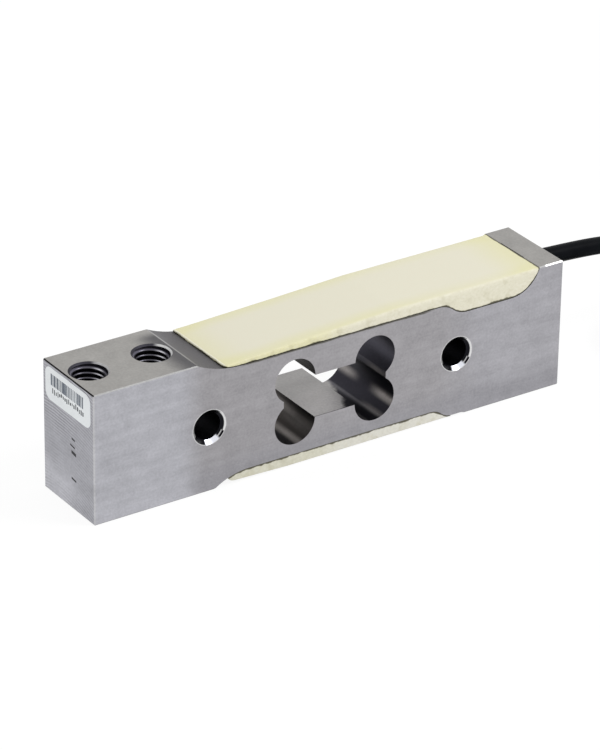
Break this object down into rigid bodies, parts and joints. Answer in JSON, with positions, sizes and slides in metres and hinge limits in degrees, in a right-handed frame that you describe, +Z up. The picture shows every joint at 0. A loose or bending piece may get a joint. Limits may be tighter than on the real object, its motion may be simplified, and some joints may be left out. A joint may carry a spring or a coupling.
{
  "type": "single point load cell",
  "caption": "Aluminium single point load cell with a four-lobed through window, resin-potted strain gauges, tapped mounting holes and a cable folded into a hank.",
  "frame": {"origin": "middle of the beam's underside", "axes": "+X along the beam from the load end to the cable end, +Y across it, +Z up from the base face to the load face"},
  "size_m": [0.265, 0.0535, 0.0381],
  "materials": {
    "beam": "satin, fine milled",
    "potting": "cast resin, waxy",
    "gauge": "polyimide film with etched foil",
    "lead": "enamelled wire",
    "board": "glass laminate with solder pads",
    "resistor": "coated",
    "core_red": "insulation",
    "core_black": "insulation",
    "core_green": "insulation",
    "core_white": "insulation",
    "tinned_copper": "tinned strands",
    "cable_jacket": "satin jacket",
    "sleeve": "shrink sleeve",
    "tie": "nylon",
    "label": "satin film"
  },
  "bodies": {
    "root": {"beam": "beam", "potting_top": "potting", "potting_under": "potting", "gauge_top_load": "gauge", "gauge_top_cable": "gauge", "gauge_under_load": "gauge", "gauge_under_cable": "gauge", "leads_top_load_gauge": "lead", "leads_top_cable_gauge": "lead", "leads_under_load_gauge": "lead", "leads_under_cable_gauge": "lead", "bridge_board": "board", "zero_resistor": "resistor", "span_resistor": "resistor", "core_red": "core_red", "core_black": "core_black", "core_green": "core_green", "core_white": "core_white", "drain_wire": "tinned_copper", "cable_in_bore": "cable_jacket", "label": "label", "cable": "cable_jacket", "cable_hank": "cable_jacket", "hank_tie": "tie", "jacket_sleeve": "sleeve", "tail_red": "core_red", "tail_black": "core_black", "tail_green": "core_green", "tail_white": "core_white", "tail_drain": "tinned_copper"}
  },
  "joints": []
}
